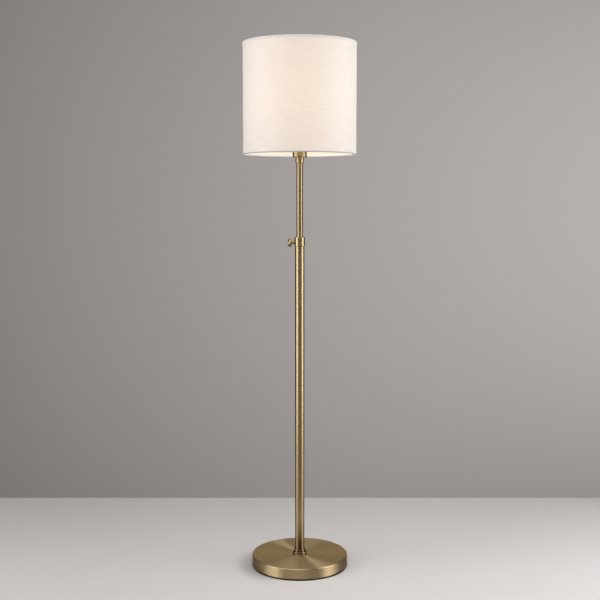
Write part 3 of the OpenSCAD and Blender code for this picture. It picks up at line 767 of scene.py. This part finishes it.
def arc(centre, radius, start, end, steps):
    """Points on an arc, from one angle to another in degrees."""
    angles = [math.radians(start + (end - start) * i / steps) for i in range(steps + 1)]
    return [(centre[0] + radius * math.cos(a), centre[1] + radius * math.sin(a)) for a in angles]


hem_low, hem_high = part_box("shade_bottom_hem")
HEM_WIDTH = hem_high.z - hem_low.z


def hem_section():
    """Cross-section of the lower hem, from its outer edge round to its inner edge, with height 0 at the fold."""
    half = TAPE / 2
    wire = (WIRE_CENTRE, TAPE + WIRE_RADIUS)
    outer = [(WALL_OUT + half, HEM_WIDTH * (1 - i / 6) + half * i / 2) for i in range(5)]
    fold = arc((WALL_OUT, TAPE), half, 0, -90, 4)
    under = [(WIRE_CENTRE + 0.8 * MM, half)]
    round_wire = arc(wire, WIRE_RADIUS + half, -90, -250, 12)
    inner = [(WALL_IN - half * 2, wire[1] + WIRE_RADIUS + half), (WALL_IN - half, HEM_WIDTH)]
    return outer + fold + under + round_wire + inner


def slit_for_arms(section):
    """Says which faces of the lower hem stay: all but those where an arm of the frame comes out."""
    wire_top = TAPE + WIRE_RADIUS * 1.6

    def keep(angle, index):
        """Says whether a face of the section, at an angle round the axis, stays."""
        inside = section[index][0] < WALL_IN - TAPE / 4 and section[index + 1][1] > wire_top
        near = min(abs((angle - arm + math.pi) % (2 * math.pi) - math.pi) for arm in ARM_ANGLES)
        return not (inside and near * WIRE_CENTRE < ARM_SLIT)

    return keep


def make_hem_tape():
    """White cotton that glows less than the linen, because it lies double over the lining."""
    material, tree, shader, here = new_material("hem_tape", Emission_Strength=1.0, Roughness=0.9)
    weave, around = weave_at(tree, here, 0.6 * MM, 0.35)
    cotton = blend_colours(
        tree, ramp(tree, weave["Tone"], -0.4, 0.4), (0.66, 0.665, 0.69), (0.76, 0.765, 0.79)
    )
    lit = use_group(
        tree, glow, {"Place": here, "Near": (0.16, 0.13, 0.10), "Far": (0.09, 0.08, 0.075), "Spread": 2.0}
    )
    # Inside the drum the tape stands in the bulb's light, and where it folds under it turns away from all light
    inside = ramp(tree, around["Out"], WALL_IN, WALL_OUT, 1.8, 1.0)
    folded = ramp(tree, around["Up"], linen_low.z - TAPE, linen_low.z + FOLD_SHADE, 0.4, 1.0)
    shown = calc(tree, "MULTIPLY", inside, calc(tree, "MAXIMUM", folded, calc(tree, "SUBTRACT", inside, 1.0)))
    tree.links.new(scaled(tree, lit["Glow"], shown), shader.inputs["Emission Color"])
    tree.links.new(scaled(tree, cotton, calc(tree, "MINIMUM", shown, 1.0)), shader.inputs["Base Color"])
    bump(tree, shader, weave["Height"], 0.1 * MM)
    return material


hem_tape = make_hem_tape()


def add_hem(name, node, top):
    """One of the two hems, in place of CAD's plain one."""
    section = hem_section()
    if top:
        placed = [(out, linen_high.z + TAPE - up) for out, up in section][::-1]
    else:
        placed = [(out, up + linen_low.z - TAPE) for out, up in section]
    keep = None if top else slit_for_arms(section)
    piece = wrapped_strip(name, placed, HEM_LAP, 0.0, HEM_UNEVEN, keep)
    thicken(piece, HEM_THICK)
    piece.data.materials.append(hem_tape)
    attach(piece, "upper")
    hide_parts(node)
    return piece


bottom_hem = add_hem("shade_bottom_hem_tape", "shade_bottom_hem", False)
top_hem = add_hem("shade_top_hem_tape", "shade_top_hem", True)
print(f"hems {HEM_WIDTH / MM:.1f} mm wide")

# %% [markdown]
# ## Felt pad
#
# The pad keeps the base from scratching the floor. Felt is soft at its edge and never quite even, so the pad is a
# turned section with round corners, and its edge is pushed in and out by a small noise.

# %% Felt pad
FELT_STEPS = 360
FELT_CORNER = 0.7 * MM
FELT_RAGGED = 0.15 * MM
RAGGED_ROUND, RAGGED_UP = 30, 900  # how fast the edge's raggedness changes, round the axis and up it


def make_felt():
    """Black felt: matt, with a soft sheen."""
    material, tree, shader, here = new_material("felt", Roughness=0.98, Sheen_Weight=0.4, Sheen_Roughness=0.6)
    fibres = noise_at(tree, here, scale=1300.0, detail=6.0, roughness=0.75)
    base_colour(tree, shader, fibres, (0.006, 0.006, 0.006), (0.03, 0.029, 0.028))
    bump(tree, shader, fibres, 0.4 * MM)
    return material


def felt_section(low, high):
    """Half of the pad's cross-section, from its axis under the pad round to its axis on top."""
    middle, edge = high.x * 0.5, high.x - FELT_CORNER
    under = arc((edge, low.z + FELT_CORNER), FELT_CORNER, -90, 0, 4)
    over = arc((edge, high.z - FELT_CORNER), FELT_CORNER, 0, 90, 4)
    return [(0.0, low.z), (middle, low.z), *under, *over, (middle, high.z), (0.0, high.z)]


def add_felt_pad():
    """The pad, turned from its section, with a ragged edge."""
    low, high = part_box("base_pad")
    section = felt_section(low, high)
    vertices = []
    for step in range(FELT_STEPS):
        angle = 2 * math.pi * step / FELT_STEPS
        for out, up in section:
            ragged = FELT_RAGGED * (noise_round(angle, up, RAGGED_ROUND, RAGGED_UP) - 1)
            reach = max(out + ragged, 0.0)
            vertices.append((math.cos(angle) * reach, math.sin(angle) * reach, up))
    count = len(section)
    faces = []
    for step in range(FELT_STEPS):
        a, b = step * count, (step + 1) % FELT_STEPS * count
        faces += [(a + i, b + i, b + i + 1, a + i + 1) for i in range(count - 1)]
    piece = new_piece("base_pad_felt", vertices, faces)
    piece.data.materials.append(make_felt())
    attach(piece, "root")
    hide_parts("base_pad")
    return piece


felt_pad = add_felt_pad()
print(f"felt pad, {len(felt_pad.data.polygons)} faces")

# %% [markdown]
# ## The curled lead
#
# Inside the pole the lead is curled like a telephone cord, so that it can follow the sliding tube. It is a helix
# with round thread. On the real lamp its foot stays with the pole and its top goes with the slider; here it is
# attached to neither body.

# %% Curled lead
low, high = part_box("lead_coil")
CURLS = 24
STEPS_PER_CURL = 24
RINGS = CURLS * STEPS_PER_CURL
LEAD_SIDES = 10
LEAD_RADIUS = 2.5 * MM
CURL_RADIUS = 7.6 * MM


def curl_place(i):
    """A place on the lead's middle line. The curls widen over the first turn and narrow over the last."""
    reach = CURL_RADIUS * eased(min(1.0, min(i, RINGS - i) / STEPS_PER_CURL))
    turn = 2 * math.pi * i / STEPS_PER_CURL
    return Vector((reach * math.cos(turn), reach * math.sin(turn), low.z + (high.z - low.z) * i / RINGS))


def curl_ring(i):
    """The points round the lead at one place on its middle line."""
    ahead = Vector((0, 0, 1)) if i in (0, RINGS) else (curl_place(i + 1) - curl_place(i - 1)).normalized()
    turn = 2 * math.pi * i / STEPS_PER_CURL
    side = Vector((math.cos(turn), math.sin(turn), 0))
    side = (side - side.dot(ahead) * ahead).normalized()
    up = ahead.cross(side)
    spins = [2 * math.pi * k / LEAD_SIDES for k in range(LEAD_SIDES)]
    return [tuple(curl_place(i) + LEAD_RADIUS * (side * math.cos(a) + up * math.sin(a))) for a in spins]


def add_curled_lead():
    """The curled lead, in place of CAD's coarser one."""
    vertices = [vertex for i in range(RINGS + 1) for vertex in curl_ring(i)]
    faces = [tuple(range(LEAD_SIDES))[::-1], tuple(RINGS * LEAD_SIDES + k for k in range(LEAD_SIDES))]
    for i in range(RINGS):
        for k in range(LEAD_SIDES):
            a, b = i * LEAD_SIDES + k, i * LEAD_SIDES + (k + 1) % LEAD_SIDES
            faces.append((a, b, b + LEAD_SIDES, a + LEAD_SIDES))
    piece = new_piece("lead_coil_curls", vertices, faces)
    piece.data.materials.append(black_plastic)
    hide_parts("lead_coil")
    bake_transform(piece)
    return piece


curled_lead = add_curled_lead()
print(f"lead with {CURLS} curls, {len(curled_lead.data.polygons)} faces")

# %% [markdown]
# ## Room and light
#
# The lamp stands on a pale floor that ends a little behind it. The wall is only a colour of the world, so that no
# wall is in the way when the lamp is looked at from behind. Two tall soft lights, left and right, draw the two
# long highlights down the pole. A wide one overhead fills the floor, and one high up behind the lamp, on the
# right, turns the base's two pale wedges off the line of sight.
#
# The pole's middle is dark in the photograph all the way down, so no bright floor is mirrored in it. The floor is
# therefore in two pieces, and the one towards the camera is left out of every mirror image.

# %% Floor
BASE_RADIUS = cover_high.x
FLOOR_COLOUR, FLOOR_HAZE, FLOOR_FAR = (0.74, 0.71, 0.715), (0.79, 0.76, 0.765), (0.655, 0.63, 0.635)
FLOOR_SPECK = (0.5, 0.49, 0.48)
FLOOR_BACK, FLOOR_MIDDLE, FLOOR_FRONT, FLOOR_SIDE = 0.63, -0.27, -6.0, 6.0
SLIVER = 2 * MM
SHADOW_REACH = 60 * MM


def make_floor():
    """Pale floor, with painted light and shade: darker far away and on the left, where less light falls, and
    darkened round the base, where it keeps light off.
    """
    material, tree, shader, here = new_material("floor", Roughness=0.6)
    haze = noise_at(tree, here, scale=3.0, detail=4.0)
    speck = noise_at(tree, here, scale=420.0, detail=3.0)
    parts = place(tree, "ShaderNodeSeparateXYZ", {"Vector": here}).outputs
    colour = blend_colours(tree, haze, FLOOR_COLOUR, FLOOR_HAZE)
    # Painted light falloff: the floor's colour is darker far behind the lamp
    colour = blend_colours(tree, ramp(tree, parts["Y"], -0.3, 0.75), colour, FLOOR_FAR)
    colour = blend_colours(tree, calc(tree, "MULTIPLY", speck, 0.1), colour, FLOOR_SPECK)
    # Painted light falloff: the floor's colour is darker on the left and brighter on the right
    side = ramp(tree, parts["X"], -1.3, 1.3, 0.84, 1.16)
    # Painted shade: the sliver of floor that shows between the base's edge and its pad is darkened, as little light
    #     reaches it, and a painted soft shadow of the base lies on its left, away from the stronger lights
    away = length_of(tree, here)
    frontward = calc(tree, "DIVIDE", calc(tree, "MULTIPLY", parts["Y"], -1.0), away)
    leftward = calc(tree, "DIVIDE", calc(tree, "MULTIPLY", parts["X"], -1.0), away)
    edge = BASE_RADIUS + 0.5 * MM
    sliver = calc(tree, "MULTIPLY", ramp(tree, away, edge, edge + SLIVER, 1.0, 0.0), ramp(
        tree, frontward, 0.1, 0.6, 0.4, 1.0
    ))
    shadow = calc(tree, "MULTIPLY", ramp(tree, away, BASE_RADIUS, BASE_RADIUS + SHADOW_REACH, 0.32, 0.0), ramp(
        tree, leftward, 0.3, 0.95
    ))
    lit = calc(tree, "MULTIPLY", calc(tree, "SUBTRACT", 1.0, sliver), calc(tree, "SUBTRACT", 1.0, shadow))
    tree.links.new(scaled(tree, colour, calc(tree, "MULTIPLY", side, lit)), shader.inputs["Base Color"])
    bump(tree, shader, speck, 0.1 * MM)
    return material


floor_material = make_floor()


def add_floor(name, front, back):
    """A stretch of floor, from its front edge to its back edge."""
    corners = [(-FLOOR_SIDE, front, 0), (FLOOR_SIDE, front, 0), (FLOOR_SIDE, back, 0), (-FLOOR_SIDE, back, 0)]
    floor = new_piece(name, corners, [(0, 1, 2, 3)])
    floor.data.materials.append(floor_material)
    return floor


add_floor("floor", FLOOR_MIDDLE, FLOOR_BACK)
add_floor("floor_front", FLOOR_FRONT, FLOOR_MIDDLE).visible_glossy = False
print(f"floor ends {FLOOR_BACK} m behind the lamp")

# %% World
WALL_LEFT = (0.224, 0.203, 0.189)
WALL_RIGHT = (0.478, 0.448, 0.430)
ROOM_FRONT = (0.185, 0.155, 0.12)
BAND = (0.56, 0.535, 0.505)
CEILING = (0.10, 0.095, 0.09)


def make_world():
    """A wall with a pool of light behind the lamp, and a darker room in front of it."""
    world = bpy.data.worlds.new("wall")
    world.use_nodes = True
    bpy.context.scene.world = world
    tree = world.node_tree
    direction = place(tree, "ShaderNodeTexCoord").outputs["Generated"]
    parts = place(tree, "ShaderNodeSeparateXYZ", {"Vector": direction}).outputs
    across = place(tree, "ShaderNodeMapRange", {"Value": parts["X"], "From Min": -0.32, "From Max": 0.30})
    across = calc(tree, "POWER", across.outputs["Result"], 0.8)
    # The pool of light fades upwards and downwards, and sooner on the right
    fading = calc(tree, "ADD", 3.0, ramp(tree, parts["X"], 0.0, 0.35, 0.0, 2.2))
    fading = calc(tree, "MULTIPLY", fading, calc(tree, "MULTIPLY", parts["Z"], parts["Z"]))
    pool = calc(tree, "MAXIMUM", calc(tree, "SUBTRACT", 1.0, fading), 0.35)
    wall = scaled(tree, blend_colours(tree, across, WALL_LEFT, WALL_RIGHT), pool)
    # Above the picture a pale band, mirrored in the base's top, and then a dark ceiling, mirrored in its rim
    wall = blend_colours(tree, ramp(tree, parts["Z"], 0.19, 0.34), wall, BAND)
    wall = blend_colours(tree, ramp(tree, parts["Z"], 0.5, 0.75), wall, CEILING)
    colour = blend_colours(tree, ramp(tree, parts["Y"], -0.5, 0.3), ROOM_FRONT, wall)
    tree.links.new(colour, tree.nodes["Background"].inputs["Color"])


make_world()
print("world with a wall behind and a darker room in front")

# %% [markdown]
# A photographer puts black cards beside polished metal, because a bright pole on a bright ground has no edge.
# Mirrored at a grazing angle, the two cards draw the dark line down each side of the pole. They stand where the
# camera doesn't see them, and are hidden from it so that no other view meets them either.

# %% Black cards
CARD_AWAY, CARD_TOP = 1.5, 2.2
CARD_FROM, CARD_TO = 102, 156


def place_round(angle, away, height):
    """A place at an angle from the camera's side of the lamp, in degrees: negative is left, positive right."""
    turned = math.radians(angle)
    return (away * math.sin(turned), -away * math.cos(turned), height)


def add_card(name, side):
    """A black card that stands on the floor, on the left at side -1 and on the right at side 1."""
    near, far = side * CARD_FROM, side * CARD_TO
    corners = [(near, 0.0), (far, 0.0), (far, CARD_TOP), (near, CARD_TOP)]
    card = new_piece(name, [place_round(angle, CARD_AWAY, up) for angle, up in corners], [(0, 1, 2, 3)])
    material, tree, shader, here = new_material(name, Roughness=0.9)
    weave = noise_at(tree, here, scale=300.0)
    base_colour(tree, shader, weave, (0.012, 0.012, 0.012), (0.02, 0.02, 0.02))
    card.data.materials.append(material)
    card.visible_camera = False


add_card("card_left", -1)
add_card("card_right", 1)
print("two black cards placed")

# %% [markdown]
# The two long highlights are only a few millimetres wide, so a light sampled at random would leave them ragged.
# The pair of tall lights is therefore split. A light does the lighting and is left out of mirrors, and a glowing
# card in the same place is seen in mirrors and nowhere else. The card fades towards its edges like a real softbox.

# %% Glowing cards
SIDE_UP, SIDE_TALL = 1.05, 2.3
GLOW_AWAY = 1.98
GLOW_FADE = 0.35  # share of half a card's width over which each edge dims


def add_glowing_card(name, angle, width, strength):
    """A card that is seen in mirrors alone."""
    half, tall = width / 2, SIDE_TALL / 2
    card = new_piece(name, [(-half, 0, -tall), (half, 0, -tall), (half, 0, tall), (-half, 0, tall)], [(0, 1, 2, 3)])
    card.location = place_round(angle, GLOW_AWAY, SIDE_UP)
    card.rotation_euler = (0, 0, math.radians(angle))
    material, tree, shader, here = new_material(
        name, Base_Color=(0, 0, 0, 1), Roughness=1.0, Emission_Strength=1.0
    )
    sideways = calc(tree, "ABSOLUTE", place(tree, "ShaderNodeSeparateXYZ", {"Vector": here}).outputs["X"])
    dimmed = ramp(tree, sideways, half * (1 - GLOW_FADE), half, strength, 0.0)
    tree.links.new(vector_of(tree, dimmed, dimmed, dimmed), shader.inputs["Emission Color"])
    material.cycles.emission_sampling = "NONE"
    card.data.materials.append(material)
    card.visible_camera = card.visible_diffuse = card.visible_shadow = False


add_glowing_card("glow_left", -66, width=1.55, strength=2.65)
add_glowing_card("glow_right", 75, width=1.4, strength=2.9)
print("two glowing cards placed")

# %% Lights
SIDE_AWAY = 2.0
SIDE_AIM = (0, 0, 0.8)
BULB_COLOUR = (1.0, 0.82, 0.58)
BULB_POWER = 0.5
BULB_SOFTNESS = 32 * MM


def new_light(name, kind, where, power):
    """A light that isn't seen itself."""
    light = bpy.data.objects.new(name, bpy.data.lights.new(name, kind))
    light.data.energy = power
    light.location = where
    light.visible_camera = False
    bpy.context.scene.collection.objects.link(light)
    return light


def add_soft_light(name, where, towards, size, power):
    """A flat soft light."""
    light = new_light(name, "AREA", where, power)
    light.data.shape = "RECTANGLE"
    light.data.size, light.data.size_y = size
    light.rotation_euler = (Vector(towards) - Vector(where)).to_track_quat("-Z", "Y").to_euler()
    return light


for name, angle, width, power in (("soft_left", -68, 1.25, 23), ("soft_right", 75, 1.2, 26)):
    where = place_round(angle, SIDE_AWAY, SIDE_UP)
    add_soft_light(name, where, SIDE_AIM, (width, SIDE_TALL), power).visible_glossy = False
add_soft_light("soft_top", where=(-0.4, -0.9, 3.4), towards=(-0.2, -0.5, 0), size=(2.6, 2.0), power=44)
add_soft_light("soft_high", where=(1.6, 0.8, 2.5), towards=(0, 0, 0), size=(2.0, 1.6), power=24)


def add_bulb_light():
    """A faint warm light inside the globe, for the pieces round it."""
    light = new_light("bulb_light", "POINT", (0, 0, (globe_low.z + globe_high.z) / 2), BULB_POWER)
    light.data.color = BULB_COLOUR
    light.data.shadow_soft_size = BULB_SOFTNESS
    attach(light, "upper")


add_bulb_light()
bpy.context.scene.view_settings.view_transform = "Standard"
print("lights placed")
